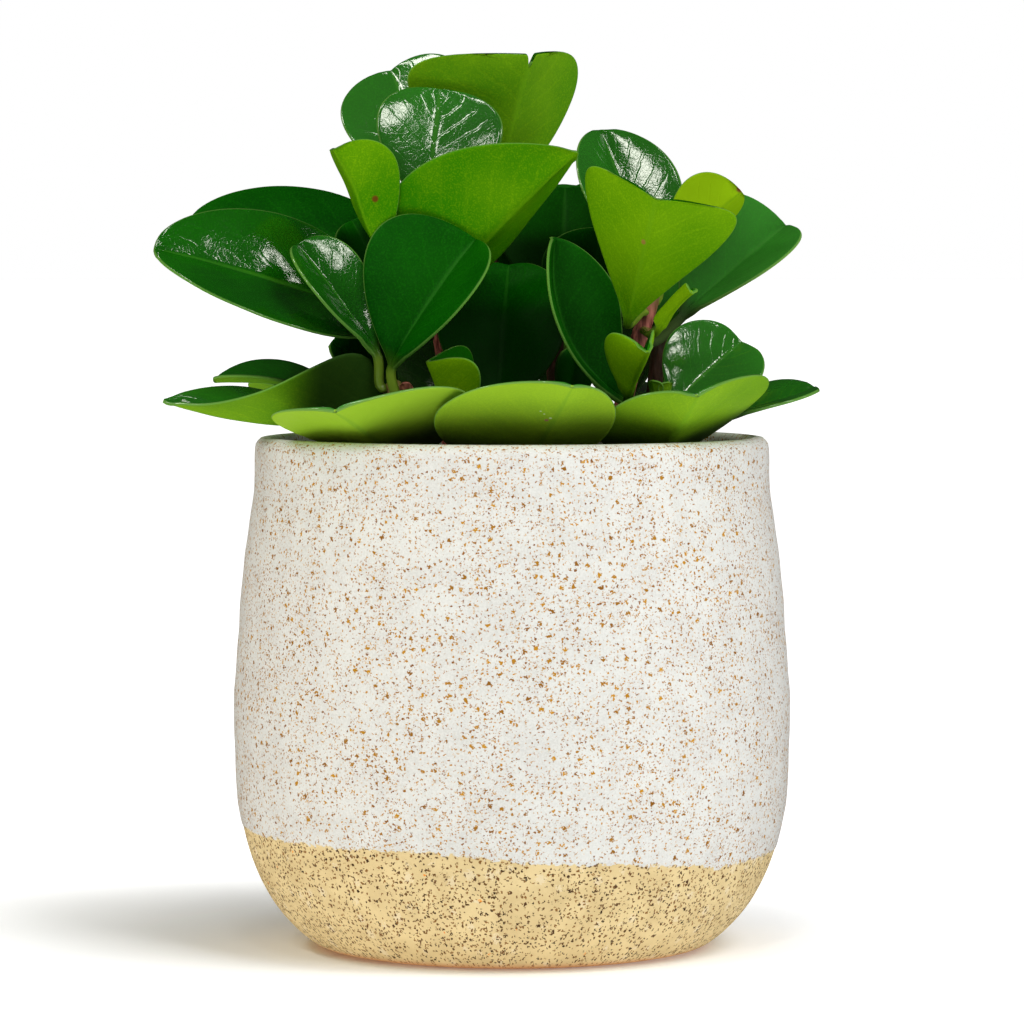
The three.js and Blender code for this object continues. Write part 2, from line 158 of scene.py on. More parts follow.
# Their meshes: columns round a leaf, which crowd towards the midrib and the margins, and rows along it,
# which crowd towards the tip
round_segments = 48
torn_segments = 160
stalk_segments = 8
blade_segments = 34
tip_crowding = 1.6
even_share = 0.6
crowded_share = 0.4
weld = 1e-7

# The finish of the leaves: how soon and how deep the painted shade in the dark of the bush is, the pale waxy
# film and painted sheen on the palest leaf, and how much paler a tip is than its foot, a painted light that
# leaves the foot shaded
painted_shade_edge = 0.22
painted_shade_depth = 0.9
bloom_and_sheen_share = 0.06
# Painted light: how much paler the tip is than the foot
painted_light_rise = 0.2

# Colours of the pot. Each pair is blended by a cloud
glaze_pair = ((206, 206, 203), (215, 216, 213))
glaze_mottle = (232, 232, 230)
clay_pair = ((210, 187, 138), (224, 202, 152))
clay_blush = (226, 158, 108)
# Specks: the size of the cells they are strewn in, the share of the cells that hold one, their radius,
# their two colours and how strongly they show
glaze_dust = (1.05, 0.65, 0.25, (150, 84, 24), (206, 162, 96), 0.8)
glaze_specks = (1.7, 0.72, 0.34, (124, 70, 0), (196, 138, 10))
glaze_blobs = (3.6, 0.5, 0.64, (136, 86, 0), (198, 142, 8))
clay_specks = [
    (6.5, 0.5, 1.5, (228, 214, 184), (232, 218, 190), 0.5),
    (1.35, 0.85, 0.42, (56, 36, 20), (140, 98, 48)),
    (4.0, 0.55, 0.55, (58, 40, 28), (112, 74, 40)),
    (13.0, 0.4, 0.4, (224, 120, 24), (236, 150, 50)),
]

# Colours of the soil and the stems
peat_pair = ((26, 18, 12), (92, 66, 44))
peat_grains = (4.0, 0.15, 0.7, (180, 166, 140), (204, 194, 170))
bark_pair = ((104, 46, 38), (190, 112, 100))
green_pair = ((96, 112, 38), (150, 132, 70))
# The painted shade laid over the stems in the dark of the bush
stem_painted_shade = (12, 16, 2)

# The sides of a leaf: deepest and palest colour, midrib, roughness and specular level
glossy_look = ((1, 62, 0), (28, 120, 6), (60, 130, 30), 0.09, 0.9)
dull_look = ((1, 60, 0), (24, 120, 6), (40, 110, 24), 0.45, 0.05)
under_look = ((46, 118, 0), (142, 186, 14), (104, 158, 16), 0.5, 0.02)
margin_colour = (92, 140, 58)
stalk_colour = (104, 132, 36)
# The painted shade laid over the parts of leaves in the dark of the bush
leaf_painted_shade = (2, 40, 0)
# Partly a pale waxy film, partly a painted sheen
bloom_and_sheen_colour = (206, 208, 176)
# The small marks on the leaves: place, radius and colour
marks = [
    ((-42.3, -21.3, 234.7), 1.4, (96, 64, 16)),
    ((40.4, -35.4, 221.4), 1.1, (140, 118, 50)),
    ((10.4, -64.4, 167.6), 0.9, (160, 122, 84)),
    ((8.6, -68.8, 170.1), 0.6, (190, 210, 150)),
    ((9.7, -67.5, 169.3), 0.5, (190, 210, 150)),
    ((11.6, -65.5, 168.2), 0.6, (190, 210, 150)),
    ((71.6, 3.3, 238), 1.6, (120, 78, 40)),
    ((-15.2, -33.2, 210.6), 0.6, (200, 190, 120)),
]

# Relief of the finishes, in millimetres
pit_depth = 0.012
speck_depth = 0.03
peat_relief = 0.5
streak_relief = 0.1
pebble_relief = 0.003
quilt_relief = 0.034
vein_depth = 0.03
net_depth = 0.006

# The camera: its place in metres, how far it looks down, its lens and its sensor in millimetres
camera_place = (0, -1.596, 0.2149)
camera_tilt = 2.806
lens = 178.6
sensor = 36

# The floor: half its side in metres, its linear colour, and the painted glow, seen only by the camera, that
# keeps it white away from the pot, between two distances in millimetres from a centre
floor_reach = 60
floor_colour = (0.88, 0.9, 0.94, 1)
glow_centre = (-35, 20, 0)
glow_near = 40.0
glow_far = 220.0
glow = 0.65

# The lights. An azimuth of 0 stands behind the camera, and 90 at the right
world_light = 0.18
world_gloss = 0.02
world_tint = (1, 0.95, 0.86, 1)
white = (1, 1, 1, 1)
# Lamps with a face: azimuth, elevation, degrees wide and high, and how many times as bright as the white
# surroundings. Their distance and the height they aim at are in metres
lamp_distance = 2.2
lamp_aim = 0.2
lamp_tint = (1, 0.99, 0.9)
softboxes = {
    "right_box": (33, 30, 8, 10, 12),
    "strip_box": (-9, 31, 6, 8, 12),
    "low_box": (-16, 23, 7, 6, 10),
    "left_box": (-32, 45, 9, 7, 13),
    "top_box": (-2, 54, 8, 7, 15),
    "roof_box": (27, 74, 4, 4, 14),
    "side_box": (64, 34, 9, 6, 12),
    "far_left_box": (-80, 50, 14, 8, 14),
}
# Distant lights: azimuth, elevation, strength, spread and, where it isn't white, tint
suns = {
    "key": (48, 56, 1.22, 25),
    "fill": (-45, 48, 0.12, 25, (1, 0.93, 0.8)),
    "left_side": (-86, 0, 0.95, 30, (1, 0.88, 0.7)),
    "right_side": (86, 0, 0.95, 30),
    "bounce": (-10, -28, 0.8, 30),
    "underlight": (-5, -58, 0.45, 40),
}


@dataclass
class Leaf:
    """One leaf, as in the frame's source, with what its finish needs, in millimetres and degrees."""

    name: str
    stem: str
    at: float  # the share of the stem's length at which it grows
    neck: tuple  # where its stalk ends and its blade starts
    tip: tuple
    face: tuple  # the way its upper side looks
    width: float
    fold: float  # how steeply its halves rise from the midrib
    cup: float = 0  # how much steeper they are at the margin
    skew: float = 0  # the share by which one half is the wider
    lag: float = 0  # how far one half lies back, as a share of its breadth
    foot: float = 0.95  # how slowly it widens from its foot
    point: float = 0.5  # how slowly it narrows to its tip
    twist: float = 0
    bow: float = 0  # how far the midrib bends towards the face
    sway: float = 0  # how far it bends sideways
    notch: float = 0  # the depth of the dent in the tip
    tear: float = 0  # the depth of the tear beside the tip
    young: bool = False
    dull: bool = False
    painted_shade: float = 0  # the share of it, from its foot, that lies in the dark of the bush and is darkened by painted shade
    tone: float = 0.3  # 0 for the deepest green and 1 for the palest
    nudge: tuple = (0, 0, 0)  # how far the stalk and the neck keep away from a leaf beside them


# Foot, tip and radius of each stem
stems = {
    "front_left": ((-28, -18), (-37, -23, 179), 3.4),
    "crown_front": ((-16, 16), (-26, -1, 230), 3.6),
    "crown_back": ((-3, 26), (-10, 28, 252), 3.6),
    "right": ((24, -8), (46, -2, 212), 3.4),
    "front_right": ((44, -20), (46, -18, 172), 2.8),
    "front_middle": ((0, -20), (-7, -22, 168), 3),
    "left_back": ((-36, 20), (-42, 20, 206), 3.2),
    "back_middle": ((14, 36), (14, 40, 206), 3.4),
    "back_right": ((40, 22), (48, 26, 196), 3.2),
}

# Each row starts with its name, its stem, at, neck, tip and face
leaves = [
    Leaf("crown_back_left", "crown_back", 0.86, (-21, 34, 236), (-39.2, 58, 277), (-0.2, -0.8, 0.45),
         width=44, fold=8, cup=14, bow=3, notch=1, painted_shade=0.2, tone=0.4),
    Leaf("crown_back_right", "crown_back", 0.92, (-6, 22, 233), (6.5, 14, 281), (-0.36, 0.9, 0.1),
         width=64, skew=0.12, lag=0.33, foot=1, point=0.22, fold=22, cup=8, twist=20, bow=2, tear=5,
         tone=0.1),
    Leaf("crown_middle", "crown_front", 0.95, (-27, 4, 232), (-22.8, 12, 269.5), (0.1, -0.95, 0.3),
         width=41, skew=0.05, fold=5, cup=15, bow=2, tone=0.35),
    Leaf("crown_front_left", "crown_front", 0.88, (-39, -19, 219), (-55, -25, 250), (0.5, 0.8, 0.3),
         width=31, fold=35, cup=20, bow=1, young=True, tone=0.05, nudge=(-1.41, 0, -1.41)),
    Leaf("crown_front_right", "crown_front", 0.8, (-27, -12, 203), (20, -30, 249), (-0.42, 0.8, 0.42),
         width=53, skew=0.2, foot=0.4, point=0.85, fold=37, bow=1, tone=0, nudge=(1, -1, 0)),
    Leaf("left_upright", "front_left", 0.9, (-37, -26, 183), (-11, -21, 222), (-0.55, -0.8, 0.2),
         width=51, skew=-0.05, fold=28, cup=6, bow=2, dull=True, tone=0),
    Leaf("left_small", "front_left", 0.97, (-42, -25, 187), (-67, -17, 220.5), (0.45, -0.8, 0.35),
         width=26, fold=30, cup=10, bow=1, tone=0.1, nudge=(0, 0.9, 0)),
    Leaf("left_long", "crown_front", 0.7, (-42, 3, 197.5), (-110.5, -26, 219), (0.1, -0.75, 0.65),
         width=47, foot=0.5, point=0.6, fold=13, cup=8, bow=2, notch=1, painted_shade=0.2, tone=0.05),
    Leaf("left_far", "left_back", 0.9, (-36, 24, 215), (-104, 44, 228.5), (0, -0.5, 0.85), width=42,
         foot=0.5, point=0.55, fold=16, cup=6, bow=2, dull=True, painted_shade=0.35, tone=0),
    Leaf("left_shaded", "crown_front", 0.76, (-37, -3, 202), (-50.5, 0, 228), (0.4, -0.9, 0.2),
         width=26, fold=12, cup=20, bow=1, dull=True, painted_shade=1, tone=0),
    Leaf("left_under", "left_back", 0.62, (-36, 5, 174), (-57, 5, 190), (0, -0.6, 0.7), width=25,
         fold=20, cup=20, dull=True, painted_shade=1, tone=0),
    Leaf("left_low_far", "left_back", 0.6, (-53, 24, 172), (-95, 34, 177), (0, -0.15, 0.97), width=32,
         fold=12, cup=8, bow=2, dull=True, painted_shade=0.55, tone=0.2),
    Leaf("left_low", "front_left", 0.72, (-38, -18, 168), (-107.5, -30, 172.5), (0.1, 0.15, 0.98),
         width=46, foot=0.25, point=0.8, fold=33, cup=5, twist=-80, bow=-5, painted_shade=0.52, tone=0.25),
    Leaf("rim_left", "front_left", 0.55, (-32, -28, 152), (-53, -74, 170.5), (0, 0.35, 0.9), width=64,
         skew=-0.1, fold=8, cup=6, bow=1, notch=1, painted_shade=0.5, tone=0.9),
    Leaf("rim_middle", "front_middle", 0.6, (2, -30, 150), (18, -80, 178), (-0.06, 0.48, 0.85),
         width=55, skew=0.27, foot=0.6, fold=2, cup=6, bow=-1, notch=1, painted_shade=0.42, tone=0.7),
    Leaf("rim_right", "front_right", 0.55, (42.5, -24, 152), (55.6, -68, 175), (-0.24, 0.4, 0.85),
         width=58, skew=-0.18, foot=0.6, fold=14, cup=6, bow=-1, notch=2, painted_shade=0.45, tone=0.4),
    Leaf("right_low", "front_right", 0.75, (66, -4, 166), (96, 10, 175), (0, -0.25, 0.97), width=21,
         fold=17, painted_shade=0.3, tone=0.2),
    Leaf("middle_rolled", "front_middle", 0.9, (-18, -25, 163), (-26, -33, 184.7), (1, 0, 0.5),
         width=32, foot=0.8, point=0.25, fold=50, cup=20, young=True, painted_shade=0.2),
    Leaf("middle_upright", "front_middle", 0.95, (-4, -10, 172), (-1, 9, 214), (-0.1, -0.95, 0.3),
         width=43, foot=0.6, fold=6, cup=18, bow=2, notch=1, dull=True, painted_shade=0.8, tone=0),
    Leaf("right_leaning", "right", 0.6, (37, -14, 170), (13, -15, 223), (0.75, -0.65, 0.1), width=40,
         foot=0.8, fold=35, cup=8, bow=-7, sway=-6, dull=True, tone=0.05),
    Leaf("right_front", "right", 0.88, (36, -20, 197), (44, -42, 234.5), (0.2, 0.86, 0.45), width=56,
         skew=-0.02, lag=-0.15, foot=1, point=0.12, fold=25, cup=8, bow=-1, notch=1, young=True,
         tone=0.2),
    Leaf("right_top", "right", 0.97, (41, 8, 219), (28, 26, 257), (0.38, -0.9, 0.17), width=42,
         skew=-0.12, foot=0.5, point=0.68, fold=30, cup=4, bow=1),
    Leaf("right_young", "right", 0.92, (49.5, 2.5, 216.5), (72, 3, 237.5), (-0.4, 0.85, 0.3), width=28,
         fold=30, cup=15, bow=1, young=True, tone=1),
    Leaf("right_far", "right", 0.8, (54, 12, 198), (87.5, 26, 226.5), (-0.2, -0.7, 0.6), width=46,
         fold=30, cup=10, bow=1, painted_shade=0.2, dull=True, tone=0.55),
    Leaf("right_rolled", "front_right", 0.88, (36, -26, 174), (41.5, -41, 187.7), (-0.3, 0.6, 0.7),
         width=30, foot=0.7, point=0.4, fold=40, cup=40, young=True, painted_shade=0.2),
    Leaf("right_curl", "right", 0.83, (45.5, -22, 195), (55.3, -31, 206), (-0.2, 0.9, 0.4), width=9,
         foot=0.3, point=0.15, fold=15, cup=120, bow=1, young=True, tone=0.5),
    Leaf("right_round", "front_right", 0.95, (51, -15, 171), (72, -6, 190), (-0.3, -0.85, 0.4),
         width=35, foot=0.7, fold=8, cup=10, bow=1, notch=2, painted_shade=0.12, tone=0.4),
    Leaf("back_upright", "back_middle", 0.9, (16, 32, 200), (17, 36, 239), (0, -0.95, 0.2), width=48,
         fold=12, cup=20, bow=1, notch=1, dull=True, painted_shade=0.7, tone=0.1),
    Leaf("back_tall", "back_middle", 0.95, (26, 52, 210), (21, 62, 240), (0, -0.95, 0.2), width=40,
         fold=12, cup=20, bow=1, notch=1, dull=True, painted_shade=1, tone=0.1),
    Leaf("back_left_upright", "back_middle", 0.8, (-2, 50, 194), (-5, 60, 227), (0, -0.95, 0.2),
         width=32, fold=12, cup=20, bow=1, notch=1, dull=True, painted_shade=1, tone=0),
    Leaf("middle_shaded", "front_middle", 0.8, (17, 6, 168), (20, 8, 188), (0.3, -0.9, 0.3), width=14,
         fold=12, cup=20, bow=1, dull=True, painted_shade=1, tone=0),
    Leaf("right_shaded", "back_middle", 0.75, (24, 24, 190), (28, 18, 226), (0, -0.95, 0.2), width=36,
         fold=12, cup=10, bow=1, dull=True, painted_shade=1, tone=0),
    Leaf("back_right_low", "back_right", 0.7, (52, 34, 175), (57, 76, 181), (-0.2, -0.2, 0.95),
         width=40, fold=14, cup=14, bow=3, notch=1),
    Leaf("back_right_high", "back_right", 0.9, (49.5, 37, 194), (67, 72, 216), (-0.2, -0.3, 0.9),
         width=48, fold=15, cup=15, bow=3, notch=1),
    Leaf("back_right_inner", "back_right", 0.62, (38, 37, 171), (32, 44, 199), (0.2, -0.95, 0.3),
         width=27, fold=15, cup=15, bow=2, painted_shade=1),
    Leaf("back_low", "back_middle", 0.65, (12, 52, 164), (4, 78, 194), (0, -0.8, 0.6), width=46,
         fold=12, cup=15, bow=3, notch=1, painted_shade=1),
    Leaf("back_low_left", "back_middle", 0.55, (-16, 46, 161), (-28, 56, 196), (0.1, -0.9, 0.4),
         width=40, fold=12, cup=15, bow=2, notch=1, painted_shade=1),
    Leaf("back_low_right", "back_right", 0.55, (46, 38, 163), (52, 78, 173), (-0.1, -0.1, 1), width=50,
         fold=12, cup=15, bow=2, notch=1),
    Leaf("left_back_low", "left_back", 0.5, (-45, 33, 164), (-74, 68, 168), (0.1, -0.2, 1), width=50,
         fold=15, cup=15, bow=2, notch=1),
    Leaf("left_back_high", "left_back", 0.8, (-42, 34, 190), (-52, 76, 204), (0, -0.3, 0.9), width=46,
         fold=15, cup=15, bow=3),
    Leaf("crown_back_low", "crown_back", 0.9, (-14, 40, 236), (-22, 76, 254), (0, -0.4, 0.9), width=44,
         fold=15, cup=15, bow=3, notch=1),
    Leaf("crown_side_left", "crown_back", 0.76, (-20, 38, 214), (-50, 62, 226), (0.1, -0.3, 0.9),
         width=36, fold=10, cup=10, bow=2),
]

# The smallest shoots, which the frame fuses into their stems
shoots = [
    Leaf("shoot_1", "front_left", 0.85, (-32, -26, 172), (-33, -29, 178), (0, 0.5, 0.8), width=4,
         fold=40, cup=30),
    Leaf("shoot_2", "front_right", 0.95, (45, -21, 173), (43.5, -23, 178.5), (0.5, 0.5, 0.5), width=6,
         fold=20, cup=20),
    Leaf("shoot_3", "front_right", 0.95, (47, -21, 173), (48.5, -22.5, 178), (-0.5, 0.5, 0.5), width=6,
         fold=20, cup=20),
    Leaf("shoot_4", "crown_back", 0.97, (-10, 28, 253), (-10, 27, 264), (0, -0.9, 0.3), width=8,
         fold=30, cup=40),
]


# Curves and forms


def bezier(points, t):
    """The point of a Bezier curve at t, and its direction there."""
    points = list(points)
    while len(points) > 2:
        points = [a.lerp(b, t) for a, b in zip(points, points[1:])]
    return points[0].lerp(points[1], t), (points[1] - points[0]).normalized()


def through(points, step):
    """A smooth line through points: a cubic between each two, with corners about step apart."""
    line = []
    for i, (start, end) in enumerate(zip(points, points[1:])):
        before, after = points[max(0, i - 1)], points[min(len(points) - 1, i + 2)]
        length = (end - start).length
        leave = (end - before).normalized() * length / 3
        arrive = (after - start).normalized() * length / 3
        count = max(1, round(length / step))
        controls = (start, start + leave, end - arrive, end)
        line += [bezier(controls, j / count)[0] for j in range(count)]
    return [*line, points[-1]]


def smooth_step(value, low, high):
    """0 below low, 1 above high and a soft rise between them."""
    share = min(1, max(0, (value - low) / (high - low)))
    return share * share * (3 - 2 * share)


def bump_at(value, centre, width):
    """1 at the centre, and less and less on both sides."""
    return math.exp(-(((value - centre) / width) ** 2))


def beside(vector, axis):
    """What is left of a vector beside an axis, as a unit vector."""
    return (vector - axis * vector.dot(axis)).normalized()


def stem_points(name):
    """The control points of a stem's curve."""
    (x, y), tip, _ = stems[name]
    foot = Vector((x, y, soil_top - stem_depth))
    head = Vector(tip)
    bend = foot.lerp(head, 0.5)
    bend.x = x + (head.x - x) * stem_lean
    bend.y = y + (head.y - y) * stem_lean
    return foot, bend, head


def leaf_curves(leaf, fused):
    """The control points of a leaf's stalk and of its midrib, and the way its upper side looks."""
    neck, tip = Vector(leaf.neck), Vector(leaf.tip)
    chord = (tip - neck).normalized()
    face = beside(Vector(leaf.face), chord)
    side = chord.cross(face)
    knee = neck.lerp(tip, 0.5) + face * leaf.bow * 2 + side * leaf.sway * 2
    centre, rise = bezier(stem_points(leaf.stem), leaf.at)
    outward = beside(neck - centre, rise)
    radius = stems[leaf.stem][2] * (1 - (1 - stem_taper) * leaf.at)
    root = centre + outward * (0 if fused else radius + stalk_gap)
    span = (root - neck).length * stalk_arch
    stalk = (root, root + outward * span, neck - (knee - neck).normalized() * span, neck)
    return stalk, (neck, knee, tip), face


def outline(x, leaf):
    """How wide the blade is at a share of its length, as a share of its widest."""
    widest = leaf.foot / (leaf.foot + leaf.point)
    top = widest**leaf.foot * (1 - widest) ** leaf.point
    return x**leaf.foot * max(0, 1 - x) ** leaf.point / top


def half_section(reach, fold, cup, r):
    """How far out and up a point lies at a share r of one half of the blade, and the slope there."""
    slope = math.radians(fold + cup * r)
    start, turn = math.radians(fold), math.radians(cup)
    groove = r / math.hypot(r, groove_width)
    if abs(cup) < 0.01:
        return reach * r * math.cos(slope), reach * r * math.sin(slope) * groove, slope * groove
    out = reach * (math.sin(slope) - math.sin(start)) / turn
    up = reach * (math.cos(start) - math.cos(slope)) / turn
    return out, up * groove, slope * groove


def along_shift(leaf, x, sign, out):
    """How far a point of the blade moves along it: the notch, the half that lies back and the tear."""
    dent = 1 - math.exp(-((out / (notch_width + leaf.notch * notch_spread)) ** 2))
    shift = leaf.notch * dent * max(0, x - notch_start) / (1 - notch_start)
    shift -= max(0, leaf.lag * sign) * out * x
    from_tear = (sign * out + tear_lean * (1 - x)) / tear_width
    return shift - leaf.tear * math.exp(-(from_tear**2)) * smooth_step(x, tear_start, 1)


def leaf_point(leaf, curves, turn, row):
    """A point of the leaf's skin, and what the finish needs to know there: the share across the blade,
    the share along it, the under side as 1, and the distance to the margin."""
    stalk, midrib, face = curves
    on_stalk = row < stalk_segments
    t = row / stalk_segments if on_stalk else (row - stalk_segments) / blade_segments
    x = 0 if on_stalk else 1 - (1 - t) ** tip_crowding
    middle, tangent = bezier(stalk, t) if on_stalk else bezier(midrib, x)
    up = Matrix.Rotation(math.radians(leaf.twist) * (x - 0.5), 3, tangent) @ beside(face, tangent)
    side = tangent.cross(up)
    c = math.cos(turn)
    s = even_share * c + crowded_share * c**3
    sign = math.copysign(1, s)
    half = leaf.width / 2 * (1 + sign * leaf.skew) * outline(x, leaf)
    reach = math.hypot(stalk_radius * (1 - x * stalk_narrowing), half)
    share = min(1, half / stalk_radius / full_form)
    out, rise, slope = half_section(reach, leaf.fold * share, leaf.cup * share, abs(s))
    rise += bulge * share * math.sin(math.pi * abs(s))
    ridge = (stalk_thickness - blade_thickness) * max(0, 1 - x * midrib_run) + blade_thickness
    thickness = margin_thickness + (ridge - margin_thickness) * math.sqrt(max(0, 1 - s * s))
    skin = math.copysign(min(1, abs(math.sin(turn)) / edge_round), math.sin(turn))
    normal = up * math.cos(slope) - side * sign * math.sin(slope)
    shift = along_shift(leaf, x, sign, out)
    point = middle + side * sign * out + up * rise + tangent * shift + normal * skin * thickness / 2
    wave = wave_height * share * (1 - smooth_step(x, wave_end, 1))
    point += normal * wave * noise.noise(point / wave_length + Vector((leaf.width, 0, 0)))
    under = 0.5 - 0.5 * skin
    along = t - 1 if on_stalk else x
    point += Vector(leaf.nudge) * smooth_step(along, *nudge_rise) * (1 - smooth_step(along, *nudge_fall))
    return point, Vector((s, along, under)), reach * (1 - abs(s))


def close_skin(bm):
    """Joins the seam of a grid that is wrapped round a curve, and closes its two ends."""
    bmesh.ops.remove_doubles(bm, verts=bm.verts, dist=weld)
    bmesh.ops.holes_fill(bm, edges=[edge for edge in bm.edges if edge.is_boundary], sides=0)


def leaf_mesh(leaf, fused=False):
    """A leaf as one closed skin round its stalk and its blade. Fused, it starts inside its stem."""
    curves = leaf_curves(leaf, fused)
    rows = stalk_segments + blade_segments
    bm = bmesh.new()
    blade = bm.verts.layers.float_vector.new("blade")
    names = ("margin", "tone", "bloom_and_sheen", "painted_shade")
    margin, tone, bloom_and_sheen, painted_shade = [bm.verts.layers.float.new(name) for name in names]
    segments = torn_segments if leaf.tear else round_segments
    bmesh.ops.create_grid(bm, x_segments=segments, y_segments=rows, size=1)
    for vert in bm.verts:
        turn = vert.co.x * math.pi
        row = round((vert.co.y + 1) / 2 * rows)
        point, vert[blade], vert[margin] = leaf_point(leaf, curves, turn, row)
        # Painted light: the tone rises from the foot to the tip, so the foot looks shaded and the tip lit
        vert[tone] = leaf.tone + painted_light_rise * (vert[blade].y - 0.5)
        # Partly a pale waxy film, partly a painted sheen, stronger on paler leaves
        vert[bloom_and_sheen] = 0 if leaf.young else leaf.tone * bloom_and_sheen_share
        # Painted shade: the blade is dark from its foot up to the share of it that lies in the dark of the
        # bush
        vert[painted_shade] = 1 - smooth_step(vert[blade].y, leaf.painted_shade - painted_shade_edge, leaf.painted_shade) if leaf.painted_shade else 0
        vert.co = point * MM
    for face in bm.faces:
        below = sum(vert[blade].z for vert in face.verts) / len(face.verts)
        face.material_index = 1 if below > 0.5 else 0
    close_skin(bm)
    return bm


# Objects


def in_scene(name, data):
    """Puts an object with its data into the scene."""
    made = bpy.data.objects.new(name, data)
    bpy.context.scene.collection.objects.link(made)
    return made


def as_object(bm, name, materials):
    """Turns a bmesh into an object with materials."""
    mesh = bpy.data.meshes.new(name)
    bm.to_mesh(mesh)
    bm.free()
    for material in materials:
        mesh.materials.append(material)
    return in_scene(name, mesh)


def finish_piece(bm, name, materials, slot, *nodes):
    """Turns a bmesh into a named piece that rides on the plant's one body and stands for its nodes."""
    bmesh.ops.recalc_face_normals(bm, faces=bm.faces)
    for face in bm.faces:
        face.smooth = True
    piece = as_object(bm, name, materials)
    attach(piece, "root")
    if nodes:
        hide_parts(*nodes)


# Shader nodes


def add(tree, kind, links=None, **settings):
    """Adds a node. links gives its inputs, by name or number, a socket or a plain value."""
    made = tree.nodes.new(kind)
    for name, value in settings.items():
        setattr(made, name, value)
    for name, value in (links or {}).items():
        if isinstance(value, bpy.types.NodeSocket):
            tree.links.new(value, made.inputs[name])
        else:
            made.inputs[name].default_value = value
    return made


def maths(tree, operation, *values):
    """The result of a sum on sockets and plain values."""
    return add(tree, "ShaderNodeMath", dict(enumerate(values)), operation=operation).outputs[0]


def vectors(tree, operation, links, output=0):
    """The result of a sum on vectors."""
    return add(tree, "ShaderNodeVectorMath", links, operation=operation).outputs[output]


def ramp(tree, value, low, high, start=0.0, end=1.0):
    """A soft rise from start to end as value goes from low to high."""
    links = {0: value, 1: low, 2: high, 3: start, 4: end}
    return add(tree, "ShaderNodeMapRange", links, interpolation_type="SMOOTHSTEP").outputs[0]


def mix(tree, share, below, above):
    """One colour over another."""
    return add(tree, "ShaderNodeMix", {0: share, 6: below, 7: above}, data_type="RGBA").outputs[2]


def colour(red, green, blue):
    """A colour given as it looks on a screen, 0 to 255, in the shader's own linear values."""
    shares = [value / 255 for value in (red, green, blue)]
    return (*[v / 12.92 if v <= 0.04045 else ((v + 0.055) / 1.055) ** 2.4 for v in shares], 1)


def blend(tree, share, pair):
    """A colour between the first and the second of a pair."""
    return mix(tree, share, colour(*pair[0]), colour(*pair[1]))


def cover(tree, base, mask, strength, tint):
    """A colour with a tint over it, where the mask says and as strongly as given."""
    return mix(tree, maths(tree, "MULTIPLY", mask, strength), base, colour(*tint))


def attribute(tree, name, output="Fac"):
    """What the mesh keeps under a name."""
    return add(tree, "ShaderNodeAttribute", attribute_name=name).outputs[output]


def place(tree):
    """Object coordinates in millimetres."""
    where = add(tree, "ShaderNodeTexCoord").outputs["Object"]
    return vectors(tree, "SCALE", {0: where, 3: 1000.0})


def distance_to(tree, where, spot):
    """How far a place is from a spot."""
    return vectors(tree, "DISTANCE", {0: where, 1: spot}, "Value")


def grain(tree, where, size, detail=2.0, roughness=0.5):
    """Noise with grains about size millimetres across, from 0 to 1."""
    links = {"Vector": where, "Scale": 1 / size, "Detail": detail, "Roughness": roughness}
    return add(tree, "ShaderNodeTexNoise", links).outputs["Fac"]


def flat_noise(tree, where, scale):
    """The outputs of a noise on a surface that is laid out flat."""
    links = {"Vector": where, "Scale": scale, "Detail": 1.0}
    return add(tree, "ShaderNodeTexNoise", links, noise_dimensions="2D").outputs


def group_socket(tree, direction, kind, name):
    """Adds an input or an output to a group."""
    tree.interface.new_socket(name, in_out=direction, socket_type="NodeSocket" + kind)


def speckle_group():
    """Specks strewn over a surface: one in some of the cells of a size, each with its own size and tint.
    They crowd here and there, and their edges are chipped."""
    tree = bpy.data.node_groups.new("speckles", "ShaderNodeTree")
    group_socket(tree, "INPUT", "Vector", "Place")
    for name in ("Cell", "Share", "Size"):
        group_socket(tree, "INPUT", "Float", name)
    for name in ("Mask", "Tint"):
        group_socket(tree, "OUTPUT", "Float", name)
    given = add(tree, "NodeGroupInput").outputs
    bent = flat_noise(tree, given["Place"], 1.3)["Color"]
    moved = vectors(tree, "ADD", {0: given["Place"], 1: bent})
    links = {"Vector": moved, "Scale": maths(tree, "DIVIDE", 1.0, given["Cell"])}
    cells = add(tree, "ShaderNodeTexVoronoi", links, voronoi_dimensions="2D")
    random_value = add(tree, "ShaderNodeSeparateColor", {0: cells.outputs["Color"]}).outputs
    crowd = ramp(tree, flat_noise(tree, given["Place"], 1 / 15)["Fac"], 0.35, 0.65, 0.75, 1.25)
    chosen = maths(tree, "LESS_THAN", random_value[0], maths(tree, "MULTIPLY", given["Share"], crowd))
    reach = maths(tree, "MULTIPLY", ramp(tree, random_value[1], 0.0, 1.0, 0.45, 1.0), given["Size"])
    chip = maths(tree, "SUBTRACT", flat_noise(tree, given["Place"], 1.8)["Fac"], 0.5)
    chip = maths(tree, "MULTIPLY", chip, maths(tree, "MULTIPLY", given["Size"], 2.6))
    distance = maths(tree, "MULTIPLY", cells.outputs["Distance"], given["Cell"])
    distance = maths(tree, "ADD", distance, chip)
    inside = ramp(tree, maths(tree, "SUBTRACT", distance, reach), -0.08, 0.06, 1.0, 0.0)
    links = {"Mask": maths(tree, "MULTIPLY", inside, chosen), "Tint": random_value[2]}
    add(tree, "NodeGroupOutput", links)
    return tree


